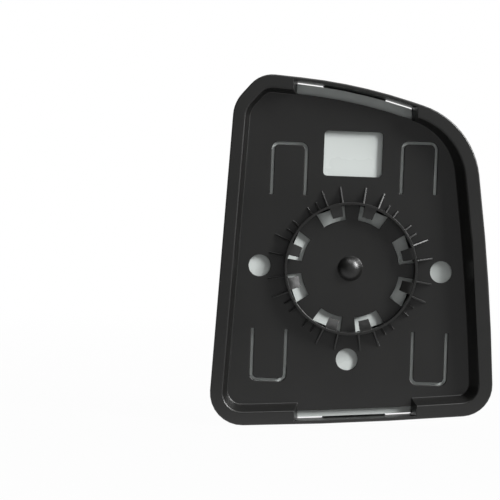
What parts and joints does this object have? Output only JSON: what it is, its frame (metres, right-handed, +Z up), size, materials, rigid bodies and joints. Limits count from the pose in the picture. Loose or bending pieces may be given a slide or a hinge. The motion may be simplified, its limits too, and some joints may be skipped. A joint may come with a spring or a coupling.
{
  "type": "car door mirror glass",
  "caption": "Convex van door mirror glass held in a moulded backing carrier with a raised hollow rim, spring tongues and a round clip ring with snap hooks for the actuator.",
  "frame": {"origin": "on the clip ring's axis, in the plane of the ring's free edge", "axes": "+Y along the clip ring's axis, away from the glass; +Z up the mirror, along its longest extent; +X towards the tall straight side"},
  "size_m": [0.1609, 0.0169, 0.201],
  "materials": {
    "carrier": "fine satin moulding",
    "mirror_glass": "polished, silvered"
  },
  "bodies": {
    "root": {"carrier": "carrier", "mirror_glass": "mirror_glass"}
  },
  "joints": []
}
